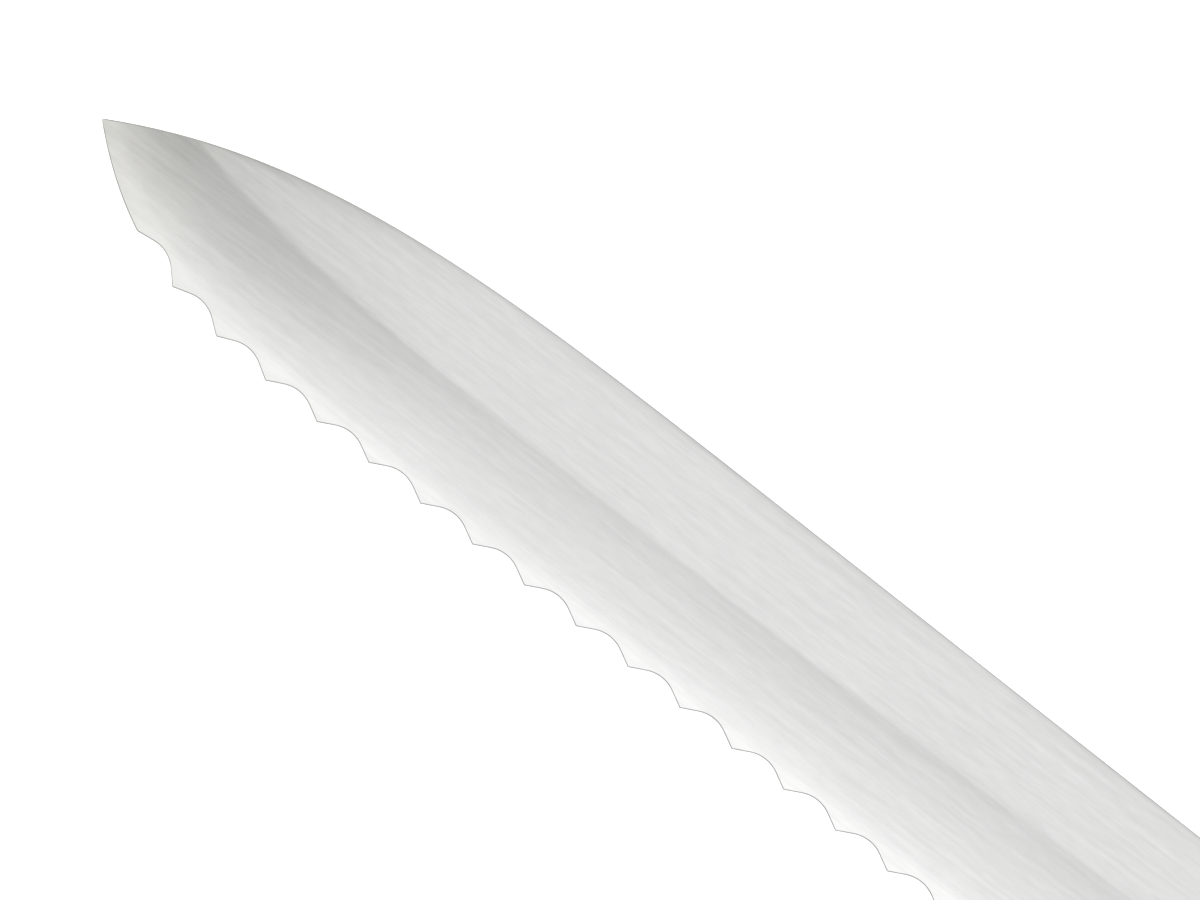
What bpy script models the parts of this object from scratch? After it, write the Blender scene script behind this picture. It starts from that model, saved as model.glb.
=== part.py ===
"""A bread knife lying on its right side: a hollow-ground, scalloped blade, full tang and riveted handle.

The knife is laid out in its own frame, in metres: x runs from the tip (negative) to the butt (positive)
with x = 0 at the front of the bolsters, y = 0 is the line of the spine with the edge at negative y, and
z = 0 is the middle of the steel. An empty then sets the knife down on its side, centred over the origin.
Left and right are those of the hand that holds it with the edge down, so the left side faces up.
"""

import math

import bmesh
import bpy
from mathutils import Matrix, Vector

# Blade, seen from the side
BLADE_LENGTH = 0.250
BLADE_WIDTH = 0.033
STEEL = 0.0022
TIP_DROP = 0.0172
SPINE_RUN = 0.1344
SPINE_POWER = 4.46
BELLY_RUN = 0.0552
BELLY_POWER = 3.25
HEEL_GAP = 0.0035
CHOIL_RADIUS = 0.0030
TOOTH_SPARE = 0.0003

# Hollow grind: the height of its shoulder above the edge, against the distance from the tip
WHEEL_RADIUS = 0.250
EDGE_HALF = 0.00025
GRIND_HEIGHTS = [
    (0.000, 0.01220),
    (0.008, 0.01450),
    (0.016, 0.01650),
    (0.024, 0.01770),
    (0.034, 0.01815),
    (0.050, 0.01790),
    (0.069, 0.01750),
    (0.134, 0.01780),
    (0.180, 0.01920),
    (0.250, 0.02130),
]
RUN_OUT_START = 0.2415
RUN_OUT_RADIUS = 0.012
WHEEL_BELOW = 0.0015
WHEEL_ABOVE = 0.0020

# Scallops, ground from the right side only: straight flanks that meet in an arc
SCALLOPS = 23
PITCH = 0.00988
FIRST_TOOTH = 0.01463
SCALLOP_DEPTH = 0.00190
FLANK_ANGLE = math.radians(27.5)
FACET_ANGLE = math.radians(17)
ARC_STEPS = 6
WHEEL_LENGTH = 0.030
WHEEL_SPARE = 0.004
FRONT_BEVEL_REACH = 0.006

# Handle
HANDLE_LENGTH = 0.130
HANDLE_THICKNESS = 0.0188
HANDLE_HALF = HANDLE_THICKNESS / 2
LINER = 0.0008
HANDLE_LINE = [
    (0.000, 0.0000),
    (0.015, -0.0001),
    (0.045, -0.0007),
    (0.080, -0.0020),
    (0.108, -0.0045),
    (0.123, -0.0088),
    (0.1295, -0.0170),
    (0.1290, -0.0262),
    (0.1235, -0.0312),
    (0.1150, -0.0300),
    (0.101, -0.0260),
    (0.082, -0.0247),
    (0.058, -0.0243),
    (0.034, -0.0222),
    (0.015, -0.0228),
    (0.000, -0.0235),
]
EDGE_ROUND = 0.0045

# Bolsters
BOLSTER_LENGTH = 0.015
NOSE_LENGTH = 0.0085
NOSE_HALF = 0.0030
BOLSTER_PIN_X = 0.0110
BOLSTER_PIN_SPREAD = 0.0050
BOLSTER_PIN_RADIUS = 0.0015

# Cutler's rivets, each a pin pressed into a tube, and the tube of the hanging hole
RIVETS = {"front": 0.030, "middle": 0.063, "rear": 0.096}
RIVET_HEAD_RADIUS = 0.0039
RIVET_HEAD = 0.0020
RIVET_TUBE_RADIUS = 0.0026
RIVET_BORE_RADIUS = 0.0018
RIVET_PIN_RADIUS = 0.0015
HANGER_X = 0.1165
HANGER_RADIUS = 0.0040
HANGER_BORE_RADIUS = 0.0032

GAP = 0.0003
ROUND_STEPS = 24
CUT_MARGIN = 0.003
MERGE = 0.00001

MATERIALS = {
    "brushed_steel": ((0.62, 0.62, 0.61), 0.32, 1.0),
    "satin_steel": ((0.58, 0.58, 0.57), 0.28, 1.0),
    "brass": ((0.78, 0.57, 0.28), 0.30, 1.0),
    "walnut": ((0.16, 0.075, 0.035), 0.45, 0.0),
    "fibre": ((0.03, 0.028, 0.026), 0.70, 0.0),
}


def clear_scene():
    for obj in list(bpy.data.objects):
        bpy.data.objects.remove(obj)


def new_collection(name):
    collection = bpy.data.collections.new(name)
    bpy.context.scene.collection.children.link(collection)
    return collection


def make_material(name):
    colour, roughness, metallic = MATERIALS[name]
    material = bpy.data.materials.new(name)
    material.use_nodes = True
    shader = material.node_tree.nodes["Principled BSDF"]
    shader.inputs["Base Color"].default_value = (*colour, 1)
    shader.inputs["Roughness"].default_value = roughness
    shader.inputs["Metallic"].default_value = metallic
    return material


def spread(low, high, steps):
    """Evenly spaced values from low to high, both included."""
    return [low + (high - low) * step / steps for step in range(steps + 1)]


# Outlines in the plane of the blade


def smooth_line(knots, steps):
    """Points on a Catmull-Rom curve through the knots, with this many steps between two knots."""
    ends = [2 * knots[0] - knots[1], *knots, 2 * knots[-1] - knots[-2]]
    points = []
    for a, b, c, d in zip(ends, ends[1:], ends[2:], ends[3:]):
        for step in range(steps):
            t = step / steps
            points.append(
                b + 0.5 * t * (c - a)
                + t * t * (a - 2.5 * b + 2 * c - 0.5 * d)
                + 0.5 * t ** 3 * (3 * (b - c) + d - a)
            )
    return [*points, knots[-1]]


def spine_y(x):
    run = min((x + BLADE_LENGTH) / SPINE_RUN, 1)
    return -TIP_DROP * (1 - run) ** SPINE_POWER


def belly_y(x):
    run = min((x + BLADE_LENGTH) / BELLY_RUN, 1)
    return -BLADE_WIDTH + (BLADE_WIDTH - TIP_DROP) * (1 - run) ** BELLY_POWER


def belly_point(x):
    """A point of the tooth line, which goes on straight ahead of the tip."""
    if x >= -BLADE_LENGTH:
        return Vector((x, belly_y(x), 0))
    slope = -(BLADE_WIDTH - TIP_DROP) * BELLY_POWER / BELLY_RUN
    return Vector((x, -TIP_DROP + slope * (x + BLADE_LENGTH), 0))


def belly_inward(x):
    """The direction in the plane of the blade, square to the tooth line, that points to the spine."""
    along = belly_point(x + TOOTH_SPARE) - belly_point(x - TOOTH_SPARE)
    return Vector((-along.y, along.x, 0)).normalized()


def tooth_points():
    """The points of the teeth, a pitch apart in a straight line from each to the next."""
    x = FIRST_TOOTH - BLADE_LENGTH
    teeth = [belly_point(x)]
    for _ in range(SCALLOPS):
        low, high = x, x + PITCH
        while high - low > MERGE / 100:
            middle = (low + high) / 2
            if (belly_point(middle) - teeth[-1]).length < PITCH:
                low = middle
            else:
                high = middle
        x = high
        teeth.append(belly_point(x))
    return teeth


def handle_outline():
    return smooth_line([Vector(knot) for knot in HANDLE_LINE], 4)


def spine_outline(steps=16):
    """The back of the blade from tip to handle, with its points closer where it curves more."""
    shares = [(step / steps) ** 1.3 for step in range(steps + 1)]
    return [Vector((x, spine_y(x))) for x in (SPINE_RUN * share - BLADE_LENGTH for share in shares)]


def choil_outline(steps=5):
    """From the bottom of the handle's front to the heel's lower corner, round the notch between the two."""
    handle_bottom = HANDLE_LINE[-1][1]
    centre = Vector((-HEEL_GAP + CHOIL_RADIUS, handle_bottom - CHOIL_RADIUS))
    points = []
    for angle in spread(math.radians(90), math.radians(180), steps):
        points.append(centre + CHOIL_RADIUS * Vector((math.cos(angle), math.sin(angle))))
    return [*points, Vector((-HEEL_GAP, -BLADE_WIDTH))]


def belly_outline(first_tooth, last_tooth, steps=12):
    """From the last tooth to the tip.

    Between the last tooth and the first it is a little outside the tooth line, for the scallops to be
    ground into.
    """
    start = last_tooth.x - TOOTH_SPARE
    end = first_tooth.x + TOOTH_SPARE
    points = [Vector((start, -BLADE_WIDTH)), Vector((start, -BLADE_WIDTH - TOOTH_SPARE))]
    for x in spread(BELLY_RUN - BLADE_LENGTH, end, steps):
        points.append((belly_point(x) - TOOTH_SPARE * belly_inward(x)).xy)
    for x in spread(end, -BLADE_LENGTH, steps)[:-1]:
        points.append(belly_point(x).xy)
    return points


def clip_outline(points, low, high):
    """The part of a closed outline between two values of x."""
    for sign, limit in ((1, low), (-1, -high)):
        kept = []
        for a, b in zip(points, [*points[1:], points[0]]):
            from_a, from_b = sign * a.x - limit, sign * b.x - limit
            if from_a >= 0:
                kept.append(a)
            if from_a * from_b < 0:
                kept.append(a.lerp(b, from_a / (from_a - from_b)))
        points = kept
    return points


def handle_middle(x):
    """Half way between the back and the belly of the handle."""
    across = clip_outline(handle_outline(), x, x + MERGE)
    ys = [point.y for point in across]
    return (min(ys) + max(ys)) / 2


# Solids


def weld(mesh, flat_angle=0.0005):
    """Joins the loose caps of a curve's mesh to its sides, and makes each flat region one face."""
    work = bmesh.new()
    work.from_mesh(mesh)
    bmesh.ops.remove_doubles(work, verts=work.verts, dist=MERGE)
    bmesh.ops.dissolve_limit(work, angle_limit=flat_angle, verts=work.verts, edges=work.edges)
    bmesh.ops.recalc_face_normals(work, faces=work.faces)
    work.to_mesh(mesh)
    work.free()


def extruded(name, outline, low, high, collection):
    """A flat outline of x and y given a thickness from low to high in z."""
    curve = bpy.data.curves.new(name, "CURVE")
    curve.dimensions = "2D"
    curve.fill_mode = "BOTH"
    curve.extrude = (high - low) / 2
    spline = curve.splines.new("POLY")
    spline.points.add(len(outline) - 1)
    for point, place in zip(spline.points, outline):
        point.co = (place.x, place.y, 0, 1)
    spline.use_cyclic_u = True
    source = bpy.data.objects.new(name + "_curve", curve)
    bpy.context.scene.collection.objects.link(source)
    bpy.context.view_layer.update()
    graph = bpy.context.evaluated_depsgraph_get()
    mesh = bpy.data.meshes.new_from_object(source.evaluated_get(graph))
    bpy.data.objects.remove(source)
    weld(mesh)
    mesh.transform(Matrix.Translation((0, 0, (low + high) / 2)))
    obj = bpy.data.objects.new(name, mesh)
    collection.objects.link(obj)
    return obj


def cylinder(name, centre, axis, radius, length, steps, collection):
    mesh = bpy.data.meshes.new(name)
    work = bmesh.new()
    bmesh.ops.create_cone(
        work, cap_ends=True, segments=steps, radius1=radius, radius2=radius, depth=length
    )
    work.to_mesh(mesh)
    work.free()
    obj = bpy.data.objects.new(name, mesh)
    obj.location = centre
    obj.rotation_mode = "QUATERNION"
    obj.rotation_quaternion = Vector((0, 0, 1)).rotation_difference(axis)
    collection.objects.link(obj)
    return obj


def turned(name, profile, x, y, collection):
    """A solid of revolution about z from a profile of (radius, z), listed from its top to its bottom."""
    mesh = bpy.data.meshes.new(name)
    vertices = [(radius, 0, z) for radius, z in profile]
    mesh.from_pydata(vertices, [(i, i + 1) for i in range(len(profile) - 1)], [])
    obj = bpy.data.objects.new(name, mesh)
    obj.location = (x, y, 0)
    collection.objects.link(obj)
    screw = obj.modifiers.new("turn", "SCREW")
    screw.steps = ROUND_STEPS
    screw.render_steps = ROUND_STEPS
    screw.use_merge_vertices = True
    screw.merge_threshold = MERGE
    screw.use_smooth_shade = False
    return obj


def turned_over(profile):
    """A turned profile moved from the left side to the right, listed from its top to its bottom again."""
    return [(radius, -z) for radius, z in reversed(profile)]


def cut(obj, cutters, operation="DIFFERENCE"):
    for cutter in cutters:
        boolean = obj.modifiers.new(cutter.name, "BOOLEAN")
        boolean.operation = operation
        boolean.object = cutter


def cut_collection(obj, collection):
    """Subtracts every object of a collection in one step."""
    boolean = obj.modifiers.new(collection.name, "BOOLEAN")
    boolean.operation = "DIFFERENCE"
    boolean.operand_type = "COLLECTION"
    boolean.collection = collection


def finish_piece(obj, material):
    obj.data.materials.clear()
    obj.data.materials.append(material)
    return obj


# Grinding wheels, as solids that cut the blade


def swept_along_belly(name, stations, collection):
    """A solid through closed sections that stand square to the tooth line.

    Each station is (x, section). A section lists (distance from the edge, z), and all sections have the
    same number of points.
    """
    mesh = bpy.data.meshes.new(name)
    work = bmesh.new()
    rings = []
    for x, section in stations:
        foot, inward = belly_point(x), belly_inward(x)
        rings.append([work.verts.new(foot + s * inward + Vector((0, 0, z))) for s, z in section])
    for ring, after in zip(rings, rings[1:]):
        for i in range(len(ring)):
            j = (i + 1) % len(ring)
            work.faces.new((ring[i], ring[j], after[j], after[i]))
    work.faces.new(rings[0])
    work.faces.new(rings[-1])
    bmesh.ops.recalc_face_normals(work, faces=work.faces)
    work.to_mesh(mesh)
    work.free()
    obj = bpy.data.objects.new(name, mesh)
    collection.objects.link(obj)
    return obj


def grind_height(from_tip):
    """The shoulder's height above the edge, read from GRIND_HEIGHTS by straight lines."""
    for (a, low), (b, high) in zip(GRIND_HEIGHTS, GRIND_HEIGHTS[1:]):
        if from_tip <= b:
            return low + (high - low) * max(from_tip - a, 0) / (b - a)
    return GRIND_HEIGHTS[-1][1]


def hollow_z(s, height):
    """Half the ground thickness at a distance s from the edge. The shoulder is at height."""
    bow = s * (s - height) / (2 * WHEEL_RADIUS)
    return EDGE_HALF + (STEEL / 2 - EDGE_HALF) * s / height + bow


def grind_section(from_tip, side, steps=6):
    """The wheel's section on one side of the blade: the ground arc, closed by a box outside the steel."""
    height = grind_height(from_tip)
    past_start = max(from_tip - RUN_OUT_START, 0)
    lift = past_start ** 2 / (2 * RUN_OUT_RADIUS)
    inner, outer = -WHEEL_BELOW, height + WHEEL_ABOVE
    section = [(s, side * (hollow_z(s, height) + lift)) for s in spread(inner, outer, steps)]
    return [*section, (outer, side * CUT_MARGIN), (inner, side * CUT_MARGIN)]


def grind_cutter(name, side, collection):
    """One side's wheel, with its sections closer where the tooth line curves and where it lifts off."""
    curved = spread(-CUT_MARGIN, BELLY_RUN, 15)
    straight = spread(BELLY_RUN, RUN_OUT_START, 8)[1:]
    run_out = spread(RUN_OUT_START, BLADE_LENGTH - CUT_MARGIN / 2, 5)[1:]
    distances = [*curved, *straight, *run_out]
    stations = [(u - BLADE_LENGTH, grind_section(max(u, 0), side)) for u in distances]
    return swept_along_belly(name, stations, collection)


def front_bevel_cutter(first_tooth, collection):
    """Sharpens the plain edge between the tip and the first tooth from the right side."""
    slope = math.tan(FACET_ANGLE)
    inner, outer = -WHEEL_BELOW, FRONT_BEVEL_REACH
    section = [(s, EDGE_HALF - slope * s) for s in (inner, outer)]
    section += [(outer, -CUT_MARGIN), (inner, -CUT_MARGIN)]
    start, end = -BLADE_LENGTH - CUT_MARGIN, first_tooth.x + TOOTH_SPARE
    stations = [(x, section) for x in spread(start, end, 8)]
    return swept_along_belly("front_bevel_cutter", stations, collection)


def scallop_profile():
    """A scallop's outline and that of the wheel that grinds it: (distance from its first tooth, depth)."""
    half = PITCH / 2
    radius = (half * math.tan(FLANK_ANGLE) - SCALLOP_DEPTH) / (1 / math.cos(FLANK_ANGLE) - 1)
    arc = []
    for angle in spread(-FLANK_ANGLE, FLANK_ANGLE, ARC_STEPS):
        arc.append((half + radius * math.sin(angle), SCALLOP_DEPTH - radius * (1 - math.cos(angle))))
    below = -WHEEL_SPARE * math.tan(FLANK_ANGLE)
    return [(-WHEEL_SPARE, below), *arc, (PITCH + WHEEL_SPARE, below)]


def scallop_cutters(teeth, collection):
    """One leaning bar for each pair of teeth, whose surface passes through both of their points."""
    profile = scallop_profile()
    reach = WHEEL_LENGTH / 2
    for number, (a, b) in enumerate(zip(teeth, teeth[1:])):
        along = (b - a).normalized()
        inward = Vector((-along.y, along.x, 0))
        ruling = math.cos(FACET_ANGLE) * inward - math.sin(FACET_ANGLE) * Vector((0, 0, 1))
        wheelward = along.cross(ruling)
        if wheelward.z > 0:
            wheelward.negate()
        start = a + Vector((0, 0, EDGE_HALF))
        section = [start + t * along - depth * math.sin(FACET_ANGLE) * wheelward for t, depth in profile]
        section += [section[-1] + WHEEL_SPARE * wheelward, section[0] + WHEEL_SPARE * wheelward]
        bar = [[corner + end * ruling for corner in section] for end in (-reach, reach)]
        prism(f"scallop_{number}", *bar, collection)


def prism(name, base, top, collection):
    """A solid between two matching flat outlines."""
    mesh = bpy.data.meshes.new(name)
    work = bmesh.new()
    low = [work.verts.new(corner) for corner in base]
    high = [work.verts.new(corner) for corner in top]
    work.faces.new(low)
    work.faces.new(high)
    for i in range(len(low)):
        j = (i + 1) % len(low)
        work.faces.new((low[i], low[j], high[j], high[i]))
    bmesh.ops.recalc_face_normals(work, faces=work.faces)
    work.to_mesh(mesh)
    work.free()
    obj = bpy.data.objects.new(name, mesh)
    collection.objects.link(obj)
    return obj


# The pieces


def make_blade(pieces, helpers):
    teeth = tooth_points()
    belly = belly_outline(teeth[0], teeth[-1])
    outline = [*spine_outline(), *handle_outline(), *choil_outline()[1:], *belly]
    blade = extruded("blade", outline, -STEEL / 2, STEEL / 2, pieces)
    wheels = bpy.data.collections.new("scallop_wheels")
    helpers.children.link(wheels)
    scallop_cutters(teeth, wheels)
    cut(
        blade,
        [
            grind_cutter("left_grind", 1, helpers),
            grind_cutter("right_grind", -1, helpers),
            front_bevel_cutter(teeth[0], helpers),
        ],
    )
    cut_collection(blade, wheels)
    return blade


def make_bolsters(pieces, helpers):
    """A half-bolster on each side of the tang, with a nose that curves down to the blade."""
    outline = clip_outline(handle_outline(), 0, BOLSTER_LENGTH)
    inner = STEEL / 2 + GAP
    bolsters = {}
    for side, name in ((1, "bolster_left"), (-1, "bolster_right")):
        low, high = sorted((side * inner, side * HANDLE_HALF))
        bolster = extruded(name, outline, low, high, pieces)
        round_outer_edges(bolster, side)
        cut(bolster, [nose_cutter(name + "_nose", side, helpers)])
        bolsters[side] = bolster
    return bolsters


def nose_cutter(name, side, collection, steps=8):
    """What is outside the curve of a bolster's nose, as a bar across the blade."""
    section = []
    for angle in spread(0, math.radians(90), steps):
        x = NOSE_LENGTH * (1 - math.cos(angle))
        rise = (HANDLE_HALF - NOSE_HALF) * math.sin(angle)
        section.append(Vector((x, side * (NOSE_HALF + rise))))
    past = side * (HANDLE_HALF + CUT_MARGIN)
    section.append(Vector((NOSE_LENGTH, past)))
    section.append(Vector((-CUT_MARGIN, past)))
    section.append(Vector((-CUT_MARGIN, side * NOSE_HALF)))
    bar = extruded(name, section, 0, BLADE_WIDTH + 2 * CUT_MARGIN, collection)
    stand_up = Matrix.Rotation(math.radians(90), 4, "X")
    bar.data.transform(Matrix.Translation((0, CUT_MARGIN, 0)) @ stand_up)
    return bar


def round_outer_edges(obj, side):
    """Rounds the edges that run along the handle on a piece's outer face, and leaves its square ends."""
    mesh = obj.data
    outer = max(side * vertex.co.z for vertex in mesh.vertices)
    front = min(vertex.co.x for vertex in mesh.vertices)
    back = max(vertex.co.x for vertex in mesh.vertices)
    weights = mesh.attributes.new("bevel_weight_edge", "FLOAT", "EDGE")
    for edge in mesh.edges:
        a, b = (mesh.vertices[i].co for i in edge.vertices)
        on_face = min(side * a.z, side * b.z) > outer - MERGE
        straight = abs(a.x - b.x) < MERGE
        at_end = straight and (abs(a.x - front) < MERGE or abs(a.x - back) < MERGE)
        if on_face and not at_end:
            weights.data[edge.index].value = 1
    bevel = obj.modifiers.new("round", "BEVEL")
    bevel.limit_method = "WEIGHT"
    bevel.width = EDGE_ROUND
    bevel.segments = 3
    bevel.use_clamp_overlap = False


def make_slabs(pieces):
    """The liner and the scale on each side of the tang."""
    outline = clip_outline(handle_outline(), BOLSTER_LENGTH + GAP, HANDLE_LENGTH + GAP)
    liner_from = STEEL / 2 + GAP
    scale_from = liner_from + LINER + GAP
    liners, scales = {}, {}
    for side, hand in ((1, "left"), (-1, "right")):
        low, high = sorted((side * liner_from, side * (liner_from + LINER)))
        liners[side] = extruded("liner_" + hand, outline, low, high, pieces)
        low, high = sorted((side * scale_from, side * HANDLE_HALF))
        scales[side] = extruded("scale_" + hand, outline, low, high, pieces)
        round_outer_edges(scales[side], side)
    return liners, scales


def make_rivet(where, x, pieces):
    """A cutler's rivet: a headed pin from the left inside a headed tube from the right."""
    under_head = HANDLE_HALF - RIVET_HEAD
    pin = [
        (0, HANDLE_HALF),
        (RIVET_HEAD_RADIUS, HANDLE_HALF),
        (RIVET_HEAD_RADIUS, under_head),
        (RIVET_PIN_RADIUS, under_head),
        (RIVET_PIN_RADIUS, GAP - under_head),
        (0, GAP - under_head),
    ]
    tube = [
        (0, HANDLE_HALF),
        (RIVET_HEAD_RADIUS, HANDLE_HALF),
        (RIVET_HEAD_RADIUS, under_head),
        (RIVET_TUBE_RADIUS, under_head),
        (RIVET_TUBE_RADIUS, GAP - under_head),
        (RIVET_BORE_RADIUS, GAP - under_head),
        (RIVET_BORE_RADIUS, under_head),
        (0, under_head),
    ]
    y = handle_middle(x)
    return [
        turned("rivet_pin_" + where, pin, x, y, pieces),
        turned("rivet_tube_" + where, turned_over(tube), x, y, pieces),
    ]


def make_hanging_tube(pieces):
    outer, inner = HANGER_RADIUS, HANGER_BORE_RADIUS
    profile = [
        (inner, HANDLE_HALF),
        (outer, HANDLE_HALF),
        (outer, -HANDLE_HALF),
        (inner, -HANDLE_HALF),
        (inner, HANDLE_HALF),
    ]
    return turned("hanging_tube", profile, HANGER_X, handle_middle(HANGER_X), pieces)


def drill(name, x, y, radius, low, high, helpers):
    centre = Vector((x, y, (low + high) / 2))
    return cylinder(name, centre, Vector((0, 0, 1)), radius, high - low, ROUND_STEPS, helpers)


def make_handle_drills(helpers):
    """The drills for the rivets and the hanging hole: straight through, and the seats of the heads."""
    through = []
    seats = {1: [], -1: []}
    far = HANDLE_HALF + CUT_MARGIN
    seat = HANDLE_HALF - RIVET_HEAD - GAP
    for where, x in RIVETS.items():
        y = handle_middle(x)
        through.append(drill("drill_" + where, x, y, RIVET_TUBE_RADIUS + GAP, -far, far, helpers))
        for side in seats:
            low, high = sorted((side * seat, side * far))
            name = f"seat_{where}_{side}"
            seats[side].append(drill(name, x, y, RIVET_HEAD_RADIUS + GAP, low, high, helpers))
    y = handle_middle(HANGER_X)
    through.append(drill("drill_hanger", HANGER_X, y, HANGER_RADIUS + GAP, -far, far, helpers))
    return through, seats


def make_bolster_pins(pieces, helpers):
    """Two plain pins through the bolsters and the tang, and the drills for them."""
    middle = handle_middle(BOLSTER_PIN_X)
    pins, drills = [], []
    for where, y in (("upper", middle + BOLSTER_PIN_SPREAD), ("lower", middle - BOLSTER_PIN_SPREAD)):
        x, far = BOLSTER_PIN_X, HANDLE_HALF + CUT_MARGIN
        pin = [
            (0, HANDLE_HALF),
            (BOLSTER_PIN_RADIUS, HANDLE_HALF),
            (BOLSTER_PIN_RADIUS, -HANDLE_HALF),
            (0, -HANDLE_HALF),
        ]
        pins.append(turned("bolster_pin_" + where, pin, x, y, pieces))
        drills.append(drill("drill_pin_" + where, x, y, BOLSTER_PIN_RADIUS + GAP, -far, far, helpers))
    return pins, drills


def lay_down(pieces, helpers):
    """Parents the knife to an empty that sets it on its right side, centred over the origin."""
    butt = max(point.x for point in handle_outline())
    knife = bpy.data.objects.new("bread_knife", None)
    knife.location = ((BLADE_LENGTH - butt) / 2, BLADE_WIDTH / 2, HANDLE_HALF)
    bpy.context.scene.collection.objects.link(knife)
    for obj in [*pieces.objects, *helpers.all_objects]:
        obj.parent = knife
    for obj in helpers.all_objects:
        obj.hide_render = True
        obj.display_type = "WIRE"


def main():
    clear_scene()
    pieces = new_collection("bread_knife_pieces")
    helpers = new_collection("cutters")
    materials = {name: make_material(name) for name in MATERIALS}

    blade = finish_piece(make_blade(pieces, helpers), materials["brushed_steel"])
    bolsters = make_bolsters(pieces, helpers)
    liners, scales = make_slabs(pieces)
    through, seats = make_handle_drills(helpers)
    pins, pin_drills = make_bolster_pins(pieces, helpers)

    cut(blade, [*through, *pin_drills])
    for side in (1, -1):
        cut(bolsters[side], pin_drills)
        cut(liners[side], through)
        cut(scales[side], [*through, *seats[side]])
        finish_piece(bolsters[side], materials["satin_steel"])
        finish_piece(liners[side], materials["fibre"])
        finish_piece(scales[side], materials["walnut"])
    for pin in pins:
        finish_piece(pin, materials["satin_steel"])
    for where, x in RIVETS.items():
        for half in make_rivet(where, x, pieces):
            finish_piece(half, materials["brass"])
    finish_piece(make_hanging_tube(pieces), materials["brass"])
    lay_down(pieces, helpers)


main()
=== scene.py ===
"""A bread knife on a seamless white table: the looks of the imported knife, built over its CAD model.

The pieces are modelled in the knife's own frame, in metres. There x runs from the tip (negative) to the
butt (positive) with x = 0 at the front of the bolsters, y = 0 is the spine and z = 0 the middle of the
steel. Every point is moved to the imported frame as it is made, so all objects stay at the origin. Left and
right are those of the hand that holds the knife with its edge down, so the left side faces up.
"""

import math

import bmesh
import bpy
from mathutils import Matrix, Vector

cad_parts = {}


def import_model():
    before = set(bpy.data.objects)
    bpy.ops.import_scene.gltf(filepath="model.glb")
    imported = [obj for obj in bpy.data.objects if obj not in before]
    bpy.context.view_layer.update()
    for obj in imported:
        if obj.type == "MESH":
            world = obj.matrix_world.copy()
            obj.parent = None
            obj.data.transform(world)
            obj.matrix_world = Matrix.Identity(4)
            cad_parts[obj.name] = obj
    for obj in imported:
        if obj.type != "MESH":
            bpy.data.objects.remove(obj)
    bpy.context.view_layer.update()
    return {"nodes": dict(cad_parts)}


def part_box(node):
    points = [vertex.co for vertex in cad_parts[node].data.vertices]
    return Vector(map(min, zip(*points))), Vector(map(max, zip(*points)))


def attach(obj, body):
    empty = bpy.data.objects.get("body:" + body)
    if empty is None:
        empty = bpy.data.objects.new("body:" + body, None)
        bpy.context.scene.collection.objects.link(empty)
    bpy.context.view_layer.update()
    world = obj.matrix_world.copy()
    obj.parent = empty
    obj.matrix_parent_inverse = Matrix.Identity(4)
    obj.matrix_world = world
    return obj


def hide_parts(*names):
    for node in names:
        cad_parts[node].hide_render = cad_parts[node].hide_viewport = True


# Blade, seen from the side: the same curves as the CAD model's
BLADE_LENGTH = 0.250
BLADE_WIDTH = 0.033
STEEL = 0.0022
TIP_DROP = 0.0172
SPINE_RUN = 0.1344
SPINE_POWER = 4.46
BELLY_RUN = 0.0552
BELLY_POWER = 3.25
HEEL_GAP = 0.0035
CHOIL_RADIUS = 0.0030

# Hollow grind: the height of its shoulder above the edge, against the distance from the tip
WHEEL_RADIUS = 0.250
EDGE_HALF = 0.00025
GRIND_HEIGHTS = [
    (0.000, 0.01220),
    (0.008, 0.01450),
    (0.016, 0.01650),
    (0.024, 0.01770),
    (0.034, 0.01815),
    (0.050, 0.01790),
    (0.069, 0.01750),
    (0.134, 0.01780),
    (0.180, 0.01920),
    (0.250, 0.02130),
]
RUN_OUT_START = 0.2415
RUN_OUT_RADIUS = 0.012
SHOULDER_SOFT = 0.00004
SHOULDER_REACH = 0.0011

# Behind this x the steel gets the spine's painted shade
GRIND_END = 0.001

# Scallops, ground from the right side only: straight flanks that meet in an arc
SCALLOPS = 23
PITCH = 0.00988
FIRST_TOOTH = 0.01463
SCALLOP_DEPTH = 0.00190
FLANK_ANGLE = math.radians(27.5)
FACET_ANGLE = math.radians(17)
FACET_REACH = 0.004

# Broken edges of the blade, which fade to square corners over the first millimetres of the tang
SPINE_ROUND = 0.00020
EDGE_BREAK = 0.00018
EDGE_BREAK_DROP = 0.00009
SQUARE_FROM = 0.003
FADE_LENGTH = 0.004
LEAST_ROUND = 0.05

# The least distance between two points of a section
HAIR = 0.000004

# The points of a section: the edge's apex, the left face, the spine, the right face and the facet. Each
# face runs in three stretches: below its shoulder, round it and above it.
LOWER_COLUMNS = 12
SHOULDER_COLUMNS = 12
UPPER_COLUMNS = 4
FACE_COLUMNS = LOWER_COLUMNS + SHOULDER_COLUMNS + UPPER_COLUMNS
SPINE_STEPS = 3
SPINE_POINTS = 2 * SPINE_STEPS + 1
FACET_COLUMNS = 4

# Sections: how many stand on the plain edge, on each scallop, on the heel and round the choil
TIP_SECTIONS = 40
FIRST_SECTION = 3
TIP_CROWDING = 1.7
SCALLOP_SECTIONS = 20
HEEL_SECTIONS = 40
CHOIL_SECTIONS = 12
TANG_SECTIONS = (0, 0.0015, 0.003, 0.004, 0.005)

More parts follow.
